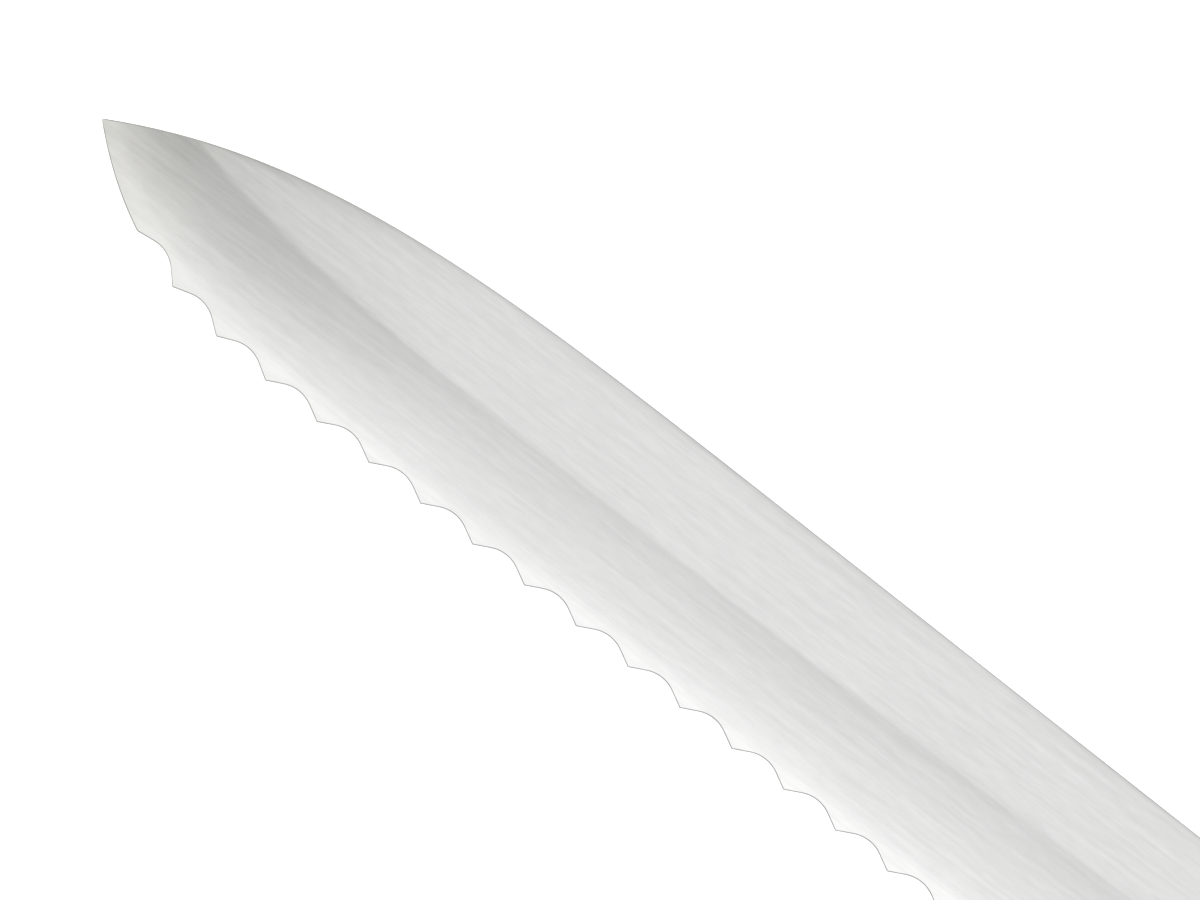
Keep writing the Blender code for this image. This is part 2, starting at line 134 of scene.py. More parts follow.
# Handle
HANDLE_HALF = 0.0094
LINER = 0.0011
HANDLE_LINE = [
    (0.000, 0.0000),
    (0.015, -0.0001),
    (0.045, -0.0007),
    (0.080, -0.0020),
    (0.108, -0.0045),
    (0.123, -0.0088),
    (0.1295, -0.0170),
    (0.1290, -0.0262),
    (0.1235, -0.0312),
    (0.1150, -0.0300),
    (0.101, -0.0260),
    (0.082, -0.0247),
    (0.058, -0.0243),
    (0.034, -0.0222),
    (0.015, -0.0228),
    (0.000, -0.0235),
]
EDGE_ROUND = 0.0045
BOLSTER_LENGTH = 0.015
NOSE_LENGTH = 0.0085
NOSE_HALF = 0.0030
NOSE_ROUNDING = 0.9

# Pins, rivets and the tube of the hanging hole
PIN_X = 0.0110
PIN_SPREAD = 0.0050
PIN_RADIUS = 0.0015
RIVETS = {"front": 0.030, "middle": 0.063, "rear": 0.096}
HEAD_RADIUS = 0.0039
HEAD_HEIGHT = 0.0020
RIVET_TUBE_RADIUS = 0.0026
RIVET_BORE_RADIUS = 0.0018
RIVET_PIN_RADIUS = 0.0015
HANGER_X = 0.1165
HANGER_RADIUS = 0.0040
HANGER_BORE_RADIUS = 0.0032
HANGER_LIP = 0.00025
HEAD_DOME = 0.00010
PIN_DOME = 0.00002

# Steps round a circle, round the corner of a scale or bolster, over a bolster's flat and along its nose
ROUND_STEPS = 72
CORNER_STEPS = 10
FLAT_STEPS = 8
NOSE_STEPS = 18

# Hairline gaps between the pieces
SEAM = 0.00002
PIN_SEAM = 0.00005

# The strip beside a curve that keeps the shading of the next flat clear of it
SUPPORT = 0.00012

# Edges that turn by more than these angles are sharp
CREASE_ANGLE = math.radians(12)
SLAB_CREASE = math.radians(20)
ROUND_CREASE = math.radians(30)
RIM_ANGLE = math.radians(45)

# Points closer than this are merged after a hole is cut
SLIVER = 0.0000002
SEARCH_STEPS = 26

# The tip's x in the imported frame, which the materials use
TIP_X = -0.190

# Studio: the softbox's corners over the table, and the camera, which looks straight down
SOFTBOX_LOW = (-0.265, -0.190)
SOFTBOX_HIGH = (0.90, 0.80)
SOFTBOX_HEIGHT = 1.0
SOFTBOX_RADIANCE = 0.50
HORIZON_LIGHT = 0.51
ZENITH_LIGHT = 0.734
TABLE_SIZE = 6.0
TABLE_COLOUR = 0.95
TABLE_GLOW = 0.60
CAMERA_PLACE = (-0.10069, 0.00646, 0.5085)
CAMERA_TURN = math.radians(38.24)
CAMERA_LENS = 100
SENSOR_WIDTH = 36


def spread(low, high, steps):
    """Evenly spaced values from low to high, both included."""
    return [low + (high - low) * step / steps for step in range(steps + 1)]


def mix(a, b, share):
    return a + (b - a) * share


def soft_min(a, b, power=6):
    """The smaller of two lengths, without a kink where they are equal."""
    return (a ** -power + b ** -power) ** (-1 / power)


def search(low, high, is_below):
    """The value between low and high where is_below turns from true to false."""
    for _ in range(SEARCH_STEPS):
        middle = (low + high) / 2
        if is_below(middle):
            low = middle
        else:
            high = middle
    return (low + high) / 2


def smooth_line(knots, steps):
    """Points on a Catmull-Rom curve through the knots, with this many steps between two knots."""
    ends = [2 * knots[0] - knots[1], *knots, 2 * knots[-1] - knots[-2]]
    points = []
    for a, b, c, d in zip(ends, ends[1:], ends[2:], ends[3:]):
        for step in range(steps):
            t = step / steps
            points.append(
                b + 0.5 * t * (c - a)
                + t * t * (a - 2.5 * b + 2 * c - 0.5 * d)
                + 0.5 * t ** 3 * (3 * (b - c) + d - a)
            )
    return [*points, knots[-1]]


# Outlines in the plane of the blade


def spine_y(x):
    """The back of the blade, straight behind the curve that drops to the tip."""
    run = min(max(x + BLADE_LENGTH, 0) / SPINE_RUN, 1)
    return -TIP_DROP * (1 - run) ** SPINE_POWER


def belly_y(x):
    """The tooth line, which goes on straight ahead of the tip."""
    from_tip = x + BLADE_LENGTH
    if from_tip < 0:
        return -TIP_DROP + from_tip * belly_slope(-BLADE_LENGTH)
    run = min(from_tip / BELLY_RUN, 1)
    return -BLADE_WIDTH + (BLADE_WIDTH - TIP_DROP) * (1 - run) ** BELLY_POWER


def belly_slope(x):
    run = min(max(x + BLADE_LENGTH, 0) / BELLY_RUN, 1)
    return -(BLADE_WIDTH - TIP_DROP) * BELLY_POWER / BELLY_RUN * (1 - run) ** (BELLY_POWER - 1)


def belly_point(x):
    return Vector((x, belly_y(x)))


def tooth_points():
    """The points of the teeth, a pitch apart in a straight line from each to the next."""
    teeth = [belly_point(FIRST_TOOTH - BLADE_LENGTH)]
    for _ in range(SCALLOPS):
        x, last = teeth[-1].x, teeth[-1]
        x = search(x, x + PITCH, lambda middle: (belly_point(middle) - last).length < PITCH)
        teeth.append(belly_point(x))
    return teeth


TEETH = tooth_points()
GRIND_LINE = smooth_line([Vector(knot) for knot in GRIND_HEIGHTS], steps=8)


def scallop_depth(t):
    """A scallop's depth at a distance t from its first tooth. Its flanks run on outside the blade."""
    radius = (PITCH / 2 * math.tan(FLANK_ANGLE) - SCALLOP_DEPTH) / (1 / math.cos(FLANK_ANGLE) - 1)
    from_middle = abs(t - PITCH / 2)
    if from_middle < radius * math.sin(FLANK_ANGLE):
        return SCALLOP_DEPTH - radius + math.sqrt(radius ** 2 - from_middle ** 2)
    return (PITCH / 2 - from_middle) * math.tan(FLANK_ANGLE)


def scallop_number(x):
    return min(max(sum(tooth.x <= x for tooth in TEETH) - 1, 0), SCALLOPS - 1)


def past_scallop(x, y, number):
    """How far a point is inside the outline of one scallop, square to the line between its teeth."""
    a, b = TEETH[number], TEETH[number + 1]
    along = (b - a).normalized()
    from_tooth = Vector((x, y)) - a
    return from_tooth.dot(Vector((-along.y, along.x))) - scallop_depth(from_tooth.dot(along))


def edge_y(x):
    """The lower outline from the tip to the handle: plain edge, scallops, heel, choil and tang."""
    if x <= TEETH[0].x:
        return belly_y(x)
    if x < TEETH[-1].x:
        number, low = scallop_number(x), belly_y(x)
        high = low + 1.5 * SCALLOP_DEPTH
        return search(low - SCALLOP_DEPTH, high, lambda y: past_scallop(x, y, number) < 0)
    if x < -HEEL_GAP:
        return -BLADE_WIDTH
    bottom = HANDLE_LINE[-1][1]
    middle = -HEEL_GAP + CHOIL_RADIUS
    if x < middle:
        return bottom - CHOIL_RADIUS + math.sqrt(max(CHOIL_RADIUS ** 2 - (x - middle) ** 2, 0))
    return bottom if x <= 0 else handle_edge(x, -1)


HANDLE = smooth_line([Vector(knot) for knot in HANDLE_LINE], steps=10)


def handle_edge(x, side):
    """The handle's back (side 1) or belly (side -1) at x."""
    hits = []
    for a, b in zip(HANDLE, HANDLE[1:]):
        if min(a.x, b.x) <= x <= max(a.x, b.x) and a.x != b.x:
            hits.append(mix(a.y, b.y, (x - a.x) / (b.x - a.x)))
    return max(hits) if side > 0 else min(hits)


def handle_middle(x):
    return (handle_edge(x, 1) + handle_edge(x, -1)) / 2


def handle_path(start):
    """The handle's outline behind x = start, from its back round the butt to its belly."""
    inside = [point.copy() for point in HANDLE if point.x > start + SEAM]
    first = Vector((start, handle_edge(start, 1)))
    last = Vector((start, handle_edge(start, -1)))
    return [first, *inside, last]


# The faces of the blade


def grind_height(from_tip):
    """How high the shoulder stands above the edge at this distance from the tip."""
    for a, b in zip(GRIND_LINE, GRIND_LINE[1:]):
        if from_tip <= b.x:
            return mix(a.y, b.y, max(from_tip - a.x, 0) / (b.x - a.x))
    return GRIND_LINE[-1].y


def above_edge(x, y):
    """A point's distance from the tooth line, and how far from the tip the foot of that distance is."""
    if x + BLADE_LENGTH > BELLY_RUN + BLADE_WIDTH:
        return y + BLADE_WIDTH, x + BLADE_LENGTH
    foot = search(x - BLADE_WIDTH, x, lambda t: (x - t) + (y - belly_y(t)) * belly_slope(t) > 0)
    distance = (Vector((x, y)) - belly_point(foot)).length
    return distance, max(foot + BLADE_LENGTH, 0)


def ground_half(x, y):
    """Half the thickness that the grinding wheel would leave at a point."""
    s, from_tip = above_edge(x, y)
    height = grind_height(from_tip)
    lift = max(from_tip - RUN_OUT_START, 0) ** 2 / (2 * RUN_OUT_RADIUS)
    bow = s * (s - height) / (2 * WHEEL_RADIUS)
    return EDGE_HALF + (STEEL / 2 - EDGE_HALF) * s / height + bow + lift


def half_thickness(x, y):
    """Half the blade's thickness, with the shoulder between grind and flat a little worn."""
    ground, flat = ground_half(x, y), STEEL / 2
    near = max(SHOULDER_SOFT - abs(ground - flat), 0) / SHOULDER_SOFT
    return min(ground, flat) - near * near * SHOULDER_SOFT / 4


def shoulder_y(x, low, high):
    return search(low, high, lambda y: ground_half(x, y) < STEEL / 2)


def facet_z(x, y, edge_z):
    """The height of the facets at a point: of the nearest scallops, or of the edge before the first."""
    number = scallop_number(x)
    near = range(max(number - 1, 0), min(number + 2, SCALLOPS))
    distances = [past_scallop(x, y, other) for other in near]
    if x < TEETH[0].x + PITCH:
        distances.append(above_edge(x, y)[0])
    return edge_z - math.tan(FACET_ANGLE) * min(distances)


def face_columns(low, shoulder, high):
    """Values of y from low to high that crowd round the shoulder of the grind.

    Where the shoulder runs off the blade, near the tip, the crowd stays inside the face.
    """
    width = high - low
    middle = min(max(shoulder, low + 0.12 * width), high - 0.08 * width)
    reach = min(SHOULDER_REACH, 0.45 * (middle - low), 0.45 * (high - middle))
    return [
        *spread(low, middle - reach, LOWER_COLUMNS),
        *spread(middle - reach, middle + reach, SHOULDER_COLUMNS)[1:],
        *spread(middle + reach, high, UPPER_COLUMNS)[1:],
    ]


def edge_breaks(x, width):
    """How far the spine's rounding and the edge's bevels reach at x, where the blade is this wide."""
    share = min(max((SQUARE_FROM - x) / FADE_LENGTH, LEAST_ROUND), 1)
    return min(SPINE_ROUND * share, 0.2 * width), min(EDGE_BREAK * share, 0.1 * width)


def spine_points(high, top, spine_z):
    """The rounded spine, as (y, z) from the top of the left face to the top of the right one."""
    rise = top - high
    inset = min(rise, 0.45 * spine_z)
    points = []
    for angle in spread(0, math.radians(90), SPINE_STEPS)[1:]:
        points.append((high + rise * math.sin(angle), spine_z - inset * (1 - math.cos(angle))))
    return [*points, *[(y, -z) for y, z in reversed(points)], (high, -spine_z)]


def facet_points(x, bottom, facet_top, apex_z, drop):
    """The facet of a scallop, or the bevel where there is none, from the right face down to the edge."""
    top_z = -half_thickness(x, facet_top)
    wall_z = top_z + drop
    if x < 0:
        wall_z = max(wall_z, min(facet_z(x, bottom, apex_z), apex_z))
    wall_z = min(wall_z, apex_z - HAIR)
    shares = spread(0, 1, FACET_COLUMNS)[1:]
    return [(mix(facet_top, bottom, share), mix(top_z, wall_z, share)) for share in shares]


def blade_ring(x, bottom, top):
    """One closed section of the blade at x, as a list of (point, place in the grind).

    It starts at the very edge and runs up the left side, round the spine and down the right side. Places
    are 0 at the edge, 1 at the shoulder and 2 at the spine. The bevels of the edge itself are -1, or 2
    behind the heel.
    """
    bevel_place = -1 if x < -HEEL_GAP else 2
    width = top - bottom
    round_off, edge_break = edge_breaks(x, width)
    drop = EDGE_BREAK_DROP * edge_break / EDGE_BREAK
    high = top - round_off
    shoulder = shoulder_y(x, bottom, high)
    facet_top = bottom + edge_break
    apex_z = half_thickness(x, facet_top) - drop

    def grind_place(y):
        if y > shoulder:
            return 1 + (y - shoulder) / max(high - shoulder, HAIR)
        distance, from_tip = above_edge(x, y)
        return min(max(distance, 0) / grind_height(from_tip), 1)

    def is_on_facet(y):
        return facet_z(x, y, apex_z) > -half_thickness(x, y)

    left = face_columns(facet_top, shoulder, high)
    if x < 0 and is_on_facet(facet_top):
        facet_top = search(facet_top, bottom + min(FACET_REACH, 0.6 * width), is_on_facet)
    right = face_columns(facet_top, shoulder, high)

    ring = [(bottom, apex_z, bevel_place)]
    ring += [(y, half_thickness(x, y), grind_place(y)) for y in left]
    ring += [(y, z, 2) for y, z in spine_points(high, top, half_thickness(x, high))]
    ring += [(y, -half_thickness(x, y), grind_place(y)) for y in reversed(right[:-1])]
    ring += [(y, z, bevel_place) for y, z in facet_points(x, bottom, facet_top, apex_z, drop)]
    return [(Vector((x, y, z)), place) for y, z, place in ring]


def blade_stations():
    """Where the blade's sections stand: each is (x, lower y, upper y)."""
    plain_edge = TEETH[0].x + BLADE_LENGTH
    shares = [(step / TIP_SECTIONS) ** TIP_CROWDING for step in range(FIRST_SECTION, TIP_SECTIONS)]
    xs = [plain_edge * share - BLADE_LENGTH for share in shares]
    for a, b in zip(TEETH, TEETH[1:]):
        xs += spread(a.x, b.x, SCALLOP_SECTIONS)[:-1]
    xs += spread(TEETH[-1].x, -HEEL_GAP - 5 * HAIR, HEEL_SECTIONS)
    stations = [(x, edge_y(x), spine_y(x)) for x in xs]
    bottom = HANDLE_LINE[-1][1]
    for angle in spread(math.radians(180), math.radians(90), CHOIL_SECTIONS):
        x = -HEEL_GAP + CHOIL_RADIUS * (1 + math.cos(angle))
        stations.append((x, bottom - CHOIL_RADIUS * (1 - math.sin(angle)), 0))
    for x in TANG_SECTIONS:
        stations.append((x, edge_y(x), handle_edge(x, 1)))
    return stations


def ring_parts(ring):
    """The left face, the spine and the right face of a section. Each ends where the next starts."""
    spine_start = FACE_COLUMNS + 1
    spine_end = spine_start + SPINE_POINTS
    left_face = ring[1:spine_start + 1]
    right_face = ring[spine_end - 1:len(ring) - FACET_COLUMNS]
    return left_face, ring[spine_start:spine_end], right_face


def bridge(work, ring, after):
    """Quads between two closed rings."""
    for i in range(len(ring)):
        j = (i + 1) % len(ring)
        work.faces.new((ring[i], ring[j], after[j], after[i]))


def circle(centre, radius, steps=ROUND_STEPS):
    turns = spread(0, 2 * math.pi, steps)[:-1]
    return [centre + radius * Vector((math.cos(turn), math.sin(turn))) for turn in turns]


def tang_holes():
    """The holes through the tang, for the rivets, the pins and the hanging tube."""
    holes = [(x, handle_middle(x), RIVET_TUBE_RADIUS) for x in RIVETS.values()]
    holes += [(PIN_X, pin_y(side), PIN_RADIUS) for side in (1, -1)]
    holes.append((HANGER_X, handle_middle(HANGER_X), HANGER_RADIUS))
    return holes


def pin_y(side):
    return handle_middle(PIN_X) + side * PIN_SPREAD


def add_tang(work, ring):
    """Closes the blade's last section with the flat tang: its rim, its holes and its two faces."""
    path = handle_path(TANG_SECTIONS[-1])[1:-1]
    half = STEEL / 2
    upper = [work.verts.new((point.x, point.y, half)) for point in path]
    lower = [work.verts.new((point.x, point.y, -half)) for point in path]
    left_face, over_spine, right_face = ring_parts(ring)
    under_edge = [*ring[len(ring) - FACET_COLUMNS - 1:], *ring[:2]]
    work.faces.new([*over_spine, lower[0], upper[0]])
    work.faces.new([*under_edge, upper[-1], lower[-1]])
    for i in range(len(path) - 1):
        work.faces.new((upper[i], upper[i + 1], lower[i + 1], lower[i]))
    loops = {1: [[*left_face, *upper]], -1: [[*reversed(right_face), *lower]]}
    for x, y, radius in tang_holes():
        rims = {}
        for sign in (1, -1):
            points = circle(Vector((x, y)), radius + SEAM)
            rims[sign] = [work.verts.new((point.x, point.y, sign * half)) for point in points]
            loops[sign].append(rims[sign])
        bridge(work, rims[1], rims[-1])
    for face_loops in loops.values():
        edges = set()
        for loop in face_loops:
            for a, b in zip(loop, [*loop[1:], loop[0]]):
                edges.add(work.edges.get((a, b)) or work.edges.new((a, b)))
        bmesh.ops.triangle_fill(work, use_beauty=True, edges=list(edges))


def make_blade(origin):
    """The blade, heel and tang as one closed shell. Its attribute "grind" is each point's place."""
    work = bmesh.new()
    place_layer = work.verts.layers.float.new("grind")
    spine_verts = set()
    rings = []
    for x, bottom, top in blade_stations():
        ring = []
        for point, place in blade_ring(x, bottom, top):
            vertex = work.verts.new(point)
            vertex[place_layer] = place
            ring.append(vertex)
        spine_verts.update(ring_parts(ring)[1])
        rings.append(ring)
    for ring, after in zip(rings, rings[1:]):
        bridge(work, ring, after)
    tip = work.verts.new((-BLADE_LENGTH, -TIP_DROP, sum(v.co.z for v in rings[0]) / len(rings[0])))
    for a, b in zip(rings[0], [*rings[0][1:], rings[0][0]]):
        work.faces.new((tip, b, a))
    add_tang(work, rings[-1])
    for vertex in work.verts:
        if vertex.co.x > GRIND_END:
            vertex[place_layer] = 2
    tang_corner = set(rings[-1])
    return finish_mesh("blade_fine", work, origin, soft=spine_verts - tang_corner, hard=tang_corner)


def finish_mesh(name, work, origin, soft=(), hard=(), crease=CREASE_ANGLE):
    """A smooth shaded object from a bmesh, sharp where its faces turn by more than the crease angle.

    Edges between two soft vertices stay smooth, and edges between two hard ones are sharp.
    """
    bmesh.ops.recalc_face_normals(work, faces=work.faces)
    for face in work.faces:
        face.smooth = True
    for edge in work.edges:
        rounded = all(vertex in soft for vertex in edge.verts)
        square = all(vertex in hard for vertex in edge.verts)
        edge.smooth = rounded or (not square and edge.calc_face_angle(math.pi) < crease)
    bmesh.ops.translate(work, verts=work.verts, vec=origin)
    mesh = bpy.data.meshes.new(name)
    work.to_mesh(mesh)
    work.free()
    obj = bpy.data.objects.new(name, mesh)
    bpy.context.scene.collection.objects.link(obj)
    return obj


# The handle


def inward_normals(path):
    """Unit vectors square to an open path that runs from the handle's back round its butt."""
    normals = []
    for i in range(len(path)):
        along = path[min(i + 1, len(path) - 1)] - path[max(i - 1, 0)]
        normals.append(Vector((along.y, -along.x)).normalized())
    return normals


def slab_rings(start, low, high, side, rounding):
    """Copies of the handle's outline from the inner face to the outer, drawn in where the edge is round."""
    path = handle_path(start)
    normals = inward_normals(path)
    levels = [(0, low)]
    if rounding:
        levels += [
            (rounding * (1 - math.cos(angle)), high - rounding + rounding * math.sin(angle))
            for angle in spread(0, math.radians(90), CORNER_STEPS)
        ]
    else:
        levels.append((0, high))
    rings = []
    for inset, z in levels:
        ring = [point + inset * normal for point, normal in zip(path, normals)]
        ring[0].x = ring[-1].x = start
        rings.append([Vector((point.x, point.y, side * z)) for point in ring])
    return rings


def make_slab(name, start, low, high, side, rounding, origin):
    """A liner or scale on one side: square at the front, its outer edge rounded if rounding is given."""
    work = bmesh.new()
    rings = [[work.verts.new(p) for p in ring] for ring in slab_rings(start, low, high, side, rounding)]
    for ring, after in zip(rings, rings[1:]):
        for i in range(len(ring) - 1):
            work.faces.new((ring[i], ring[i + 1], after[i + 1], after[i]))
    work.faces.new(rings[0])
    work.faces.new(rings[-1])
    work.faces.new([*[ring[0] for ring in rings], *[ring[-1] for ring in reversed(rings)]])
    return finish_mesh(name, work, origin, crease=SLAB_CREASE)


def bolster_section(x, low, side):
    """The outline of a bolster at x, from the tang's back edge over the outside to its lower edge."""
    top, bottom = handle_edge(x, 1), handle_edge(x, -1)
    if x < NOSE_LENGTH:
        angle = math.acos(1 - x / NOSE_LENGTH)
        high = NOSE_HALF + (HANDLE_HALF - NOSE_HALF) * math.sin(angle)
    else:
        high = HANDLE_HALF
    rounding = soft_min(EDGE_ROUND, NOSE_ROUNDING * (high - low))
    points = [(top, low)]
    for angle in spread(0, math.radians(90), CORNER_STEPS):
        points.append((top - rounding * (1 - math.cos(angle)), high - rounding * (1 - math.sin(angle))))
    inner_top, inner_bottom = top - rounding - SUPPORT, bottom + rounding + SUPPORT
    points += [(y, high) for y in spread(inner_top, inner_bottom, FLAT_STEPS)]
    for angle in spread(math.radians(90), 0, CORNER_STEPS):
        points.append((bottom + rounding * (1 - math.cos(angle)), high - rounding * (1 - math.sin(angle))))
    points.append((bottom, low))
    return [Vector((x, y, side * z)) for y, z in points]


def make_bolster(name, side, origin):
    low = STEEL / 2 + SEAM
    xs = [NOSE_LENGTH * (1 - math.cos(angle)) for angle in spread(0, math.radians(90), NOSE_STEPS)]
    xs += [NOSE_LENGTH + SUPPORT, BOLSTER_LENGTH]
    work = bmesh.new()
    rings = [[work.verts.new(p) for p in bolster_section(x, low, side)] for x in xs]
    for ring, after in zip(rings, rings[1:]):
        bridge(work, ring, after)
    work.faces.new(rings[0])
    work.faces.new(rings[-1])
    return finish_mesh(name, work, origin, crease=ROUND_CREASE)


def turned(name, profile, x, y, side, origin):
    """A solid of revolution about z. The profile is (radius, z) from the axis or round a closed line."""
    work = bmesh.new()
    closed = profile[0][0] > 0
    rings = []
    for radius, z in profile:
        if radius > 0:
            points = circle(Vector((x, y)), radius)
            rings.append([work.verts.new((p.x, p.y, side * z)) for p in points])
        else:
            rings.append([work.verts.new((x, y, side * z))] * ROUND_STEPS)
    pairs = list(zip(rings, rings[1:]))
    if closed:
        pairs.append((rings[-1], rings[0]))
    for ring, after in pairs:
        for i in range(ROUND_STEPS):
            j = (i + 1) % ROUND_STEPS
            corners = list(dict.fromkeys((ring[i], ring[j], after[j], after[i])))
            work.faces.new(corners)
    return finish_mesh(name, work, origin, crease=ROUND_CREASE)


def head_profile(radius, z, dome=HEAD_DOME, steps=5, chamfer=0.03):
    """A gently domed end of a turned piece, from its middle to just below its chamfered rim."""
    points = []
    for share in spread(0, 1, steps):
        points.append((radius * share * (1 - chamfer), z - dome * share * share))
    points.append((radius, z - dome - chamfer * radius))
    return points


def rivet_profiles():
    """A cutler's rivet: a headed pin from the left and a headed tube from the right."""
    under_head = HANDLE_HALF - HEAD_HEIGHT
    head = head_profile(HEAD_RADIUS, HANDLE_HALF)
    pin = [
        *head,
        (HEAD_RADIUS, under_head),
        (RIVET_PIN_RADIUS, under_head),
        (RIVET_PIN_RADIUS, SEAM - under_head),
        (0, SEAM - under_head),
    ]
    tube = [
        *head,
        (HEAD_RADIUS, under_head),
        (RIVET_TUBE_RADIUS, under_head),
        (RIVET_TUBE_RADIUS, SEAM - under_head),
        (RIVET_BORE_RADIUS, SEAM - under_head),
        (RIVET_BORE_RADIUS, under_head),
        (0, under_head),
    ]
    return pin, tube


def hanging_tube_profile(lip=HANGER_LIP, steps=4):
    """The wall of the hanging tube, with the corners of both its bores rolled outward."""
    inner, outer, end = HANGER_BORE_RADIUS, HANGER_RADIUS, HANDLE_HALF
    upper = [
        (inner + lip * (1 - math.cos(angle)), end - lip * (1 - math.sin(angle)))
        for angle in spread(0, math.radians(90), steps)
    ]
    lower = [(radius, -z) for radius, z in reversed(upper)]
    return [*upper, (outer, end), (outer, -end), *lower]


def drill(obj, holes, origin):
    """Cuts round holes through an object. Each is (x, y, radius, low z, high z)."""
    for x, y, radius, low, high in holes:
        work = bmesh.new()
        rings = []
        for z in (low, high):
            rings.append([work.verts.new((p.x, p.y, z)) for p in circle(Vector((x, y)), radius)])
        bridge(work, *rings)
        work.faces.new(rings[0])
        work.faces.new(rings[1])
        cutter = finish_mesh("drill", work, origin)
        boolean = obj.modifiers.new("drill", "BOOLEAN")
        boolean.object = cutter
        apply_modifiers(obj)
        bpy.data.objects.remove(cutter)
    tidy_rims(obj)
    return obj


def tidy_rims(obj):
    """Removes the slivers that drilling leaves, and marks the rims of the holes as sharp edges."""
    work = bmesh.new()
    work.from_mesh(obj.data)
    bmesh.ops.dissolve_degenerate(work, dist=SLIVER, edges=work.edges)
    for edge in work.edges:
        if edge.calc_face_angle(math.pi) > RIM_ANGLE:
            edge.smooth = False
    work.to_mesh(obj.data)
    work.free()


def apply_modifiers(obj):
    bpy.context.view_layer.update()
    graph = bpy.context.evaluated_depsgraph_get()
    mesh = bpy.data.meshes.new_from_object(obj.evaluated_get(graph))
    obj.modifiers.clear()
    obj.data = mesh


def make_sides(origin):
    """The bolster, liner and scale on each side of the tang, with their holes."""
    far = 2 * HANDLE_HALF
    front = BOLSTER_LENGTH + SEAM
    liner_low, liner_high = STEEL / 2 + SEAM, STEEL / 2 + LINER - SEAM
    scale_low = STEEL / 2 + LINER
    through = [(x, handle_middle(x), RIVET_TUBE_RADIUS + SEAM, -far, far) for x in RIVETS.values()]
    through.append((HANGER_X, handle_middle(HANGER_X), HANGER_RADIUS + SEAM, -far, far))
    pin_holes = [(PIN_X, pin_y(side), PIN_RADIUS + PIN_SEAM, -far, far) for side in (1, -1)]
    pieces = {}
    for side, hand in ((1, "left"), (-1, "right")):
        bolster = make_bolster(f"bolster_{hand}_fine", side, origin)
        pieces["bolster_" + hand] = drill(bolster, pin_holes, origin)
        liner = make_slab(f"liner_{hand}_fine", front, liner_low, liner_high, side, 0, origin)
        pieces["liner_" + hand] = drill(liner, through, origin)
        scale = make_slab(f"scale_{hand}_fine", front, scale_low, HANDLE_HALF, side, EDGE_ROUND, origin)
        low, high = sorted((side * (HANDLE_HALF - HEAD_HEIGHT - SEAM), side * far))
        seats = [(x, handle_middle(x), HEAD_RADIUS + PIN_SEAM, low, high) for x in RIVETS.values()]
        pieces["scale_" + hand] = drill(scale, [*through, *seats], origin)
    return pieces


def make_fasteners(origin):
    """The rivets, the bolsters' pins and the tube of the hanging hole."""
    pieces = {}
    pin, tube = rivet_profiles()
    for where, x in RIVETS.items():
        y = handle_middle(x)
        pieces["rivet_pin_" + where] = turned(f"rivet_pin_{where}_fine", pin, x, y, 1, origin)
        pieces["rivet_tube_" + where] = turned(f"rivet_tube_{where}_fine", tube, x, y, -1, origin)
    end = head_profile(PIN_RADIUS, HANDLE_HALF, dome=PIN_DOME, steps=2)
    profile = [*end, *[(radius, -z) for radius, z in reversed(end)]]
    for side, where in ((1, "upper"), (-1, "lower")):
        name = f"bolster_pin_{where}_fine"
        pieces["bolster_pin_" + where] = turned(name, profile, PIN_X, pin_y(side), 1, origin)
    y = handle_middle(HANGER_X)
    pieces["hanging_tube"] = turned("hanging_tube_fine", hanging_tube_profile(), HANGER_X, y, 1, origin)
    return pieces


# Materials


def new_material(name, metallic):
    material = bpy.data.materials.new(name)
    material.use_nodes = True
    tree = material.node_tree
    shader = tree.nodes["Principled BSDF"]
    shader.inputs["Metallic"].default_value = metallic
    return material, tree, shader


def node(tree, kind, inputs=(), **settings):
    """Adds a node. Its inputs are (socket, value) pairs, where a value may be another node's output."""
    made = tree.nodes.new(kind)
    for key, value in settings.items():
        setattr(made, key, value)
    for socket, value in inputs:
        if isinstance(value, bpy.types.NodeSocket):
            tree.links.new(value, made.inputs[socket])
        else:
            made.inputs[socket].default_value = value
    return made


def maths(tree, operation, a, b):
    """The result of an operation on two values."""
    return node(tree, "ShaderNodeMath", [(0, a), (1, b)], operation=operation).outputs[0]


def stretched(tree, scale, turn=0.0):
    """Object coordinates in features of 1 / scale metres, turned about z by an angle in degrees."""
    source = node(tree, "ShaderNodeTexCoord").outputs["Object"]
    turned_source = node(
        tree, "ShaderNodeMapping", [("Vector", source), ("Rotation", (0, 0, math.radians(turn)))]
    ).outputs[0]
    return node(tree, "ShaderNodeMapping", [("Vector", turned_source), ("Scale", scale)]).outputs[0]


def noise(tree, scale, detail=2.0, rough=0.5, turn=0.0):
    vector = stretched(tree, scale, turn)
    inputs = [("Vector", vector), ("Scale", 1.0), ("Detail", detail), ("Roughness", rough)]
    return node(tree, "ShaderNodeTexNoise", inputs).outputs[0]


def ramp(tree, value, stops):
    """A colour ramp over stops of (position, colour), where a colour is a grey level or an RGB triple."""
    made = node(tree, "ShaderNodeValToRGB", [(0, value)])
    elements = made.color_ramp.elements
    while len(elements) < len(stops):
        elements.new(1.0)
    for element, (position, colour) in zip(elements, stops):
        element.position = position
        rgb = (colour,) * 3 if isinstance(colour, float) else colour
        element.color = (*rgb, 1.0)
    return made.outputs[0]


def times(tree, colour, factor):
    """A colour multiplied by a number."""
    made = node(tree, "ShaderNodeVectorMath", [(0, colour), ("Scale", factor)], operation="SCALE")
    return made.outputs[0]


def around_one(tree, value, amount):
    """A noise value turned into a factor that swings by an amount on both sides of 1."""
    return maths(tree, "ADD", maths(tree, "MULTIPLY", value, 2 * amount), 1 - amount)


